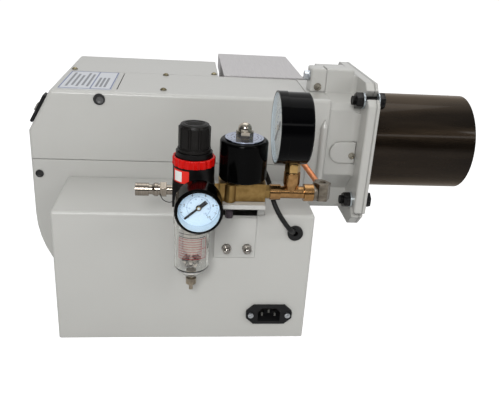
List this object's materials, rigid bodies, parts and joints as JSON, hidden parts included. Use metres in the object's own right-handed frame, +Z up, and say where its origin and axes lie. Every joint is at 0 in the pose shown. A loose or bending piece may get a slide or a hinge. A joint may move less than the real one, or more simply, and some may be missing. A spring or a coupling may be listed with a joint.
{
  "type": "waste oil burner",
  "caption": "Forced-draught waste oil burner: sheet hood, flanged blast tube, mains box and an air line with filter regulator, solenoid valve and pressure gauges.",
  "frame": {"origin": "middle of the underside of the mains box, on the surface the burner stands on", "axes": "+X along the blast tube, -Y towards the air line and gauges, +Z up"},
  "size_m": [0.514, 0.467, 0.2788],
  "materials": {
    "paint": "satin",
    "cast_paint": "satin",
    "zinc": "zinc plated",
    "steel": "plain",
    "grey_steel": "plain",
    "dark_steel": "blackened",
    "nickel": "bright",
    "sheet_metal": "satin",
    "brass": "machined",
    "copper": "drawn copper",
    "black_plastic": "matte",
    "black_gloss": "gloss",
    "red_plastic": "gloss",
    "black_rubber": "matte",
    "grey_plastic": "matte",
    "white_plastic": "matte",
    "dial_white": "matte",
    "pointer_black": "matte",
    "clear": "clear moulded",
    "ceramic": "glazed",
    "gasket": "fibre",
    "motor_paint": "satin"
  },
  "bodies": {
    "burner": {"base_box": "paint", "base_floor_plate": "paint", "body_bolts": "zinc", "mains_inlet": "black_plastic", "inlet_pins": "nickel", "pan_screws": "nickel", "cable_grommet": "black_rubber", "coil_lead": "black_rubber", "power_unit": "grey_plastic", "valve_bracket": "paint", "bracket_plate": "paint", "bracket_bolts": "nickel", "lower_casing": "paint", "deck_plate": "sheet_metal", "near_cover": "paint", "far_cover": "paint", "cover_screws": "brass", "front_plate": "paint", "hole_plugs": "black_plastic", "control_bezel": "black_plastic", "head_casting": "cast_paint", "clamp_block": "cast_paint", "socket_screws": "zinc", "clamp_bolt": "zinc", "sight_cover": "cast_paint", "flange_gasket": "gasket", "tube_flange": "cast_paint", "flange_bolts": "dark_steel", "blast_tube": "dark_steel", "nozzle_lance": "brass", "diffuser_disc": "steel", "electrodes": "steel", "electrode_insulators": "ceramic", "fan_motor": "motor_paint", "oil_tank": "sheet_metal", "tank_lid": "sheet_metal", "tank_heater": "brass", "ignition_transformer": "black_plastic", "burner_controller": "white_plastic", "air_nipple": "nickel", "regulator_body": "black_plastic", "lock_ring": "red_plastic", "filter_bowl": "clear", "filter_element": "white_plastic", "small_gauge_case": "black_gloss", "small_gauge_dial": "dial_white", "valve_body": "brass", "solenoid_coil": "black_gloss", "coil_nut": "nickel", "tee_fitting": "brass", "big_gauge_case": "black_gloss", "big_gauge_dial": "dial_white", "elbow_fitting": "grey_steel", "copper_pipe": "copper"},
    "fan": {"fan_wheel": "zinc"},
    "knob": {"regulator_knob": "black_plastic"},
    "small_needle": {"small_gauge_pointer": "pointer_black"},
    "big_needle": {"big_gauge_pointer": "pointer_black"},
    "drain": {"drain_valve": "nickel"},
    "button": {"reset_button": "grey_plastic"}
  },
  "joints": [
    {"name": "fan_spin", "type": "hinge", "parent": "burner", "child": "fan", "pos_m": [-0.0525, 0.108, 0.1007], "axis": [0, 1, 0], "continuous": true},
    {"name": "knob_turn", "type": "hinge", "parent": "burner", "child": "knob", "pos_m": [0.0066, -0.068, 0.23], "axis": [0, 0, 1], "range_deg": [-360, 360]},
    {"name": "small_needle_swing", "type": "hinge", "parent": "burner", "child": "small_needle", "pos_m": [0.0111, -0.1099, 0.181], "axis": [0, 1, 0], "range_deg": [0, 270], "stiffness_Nm_per_rad": 0.002},
    {"name": "big_needle_swing", "type": "hinge", "parent": "burner", "child": "big_needle", "pos_m": [0.0835, -0.068, 0.245], "axis": [1, 0, 0], "range_deg": [0, 270], "stiffness_Nm_per_rad": 0.004},
    {"name": "drain_push", "type": "slide", "parent": "burner", "child": "drain", "axis": [0, 0, 1], "range_m": [0, 0.0025], "stiffness_N_per_m": 150, "springref_m": -0.003},
    {"name": "button_push", "type": "slide", "parent": "burner", "child": "button", "axis": [0.8764, 0, -0.4815], "range_m": [0, 0.0015], "stiffness_N_per_m": 300, "springref_m": -0.001}
  ]
}
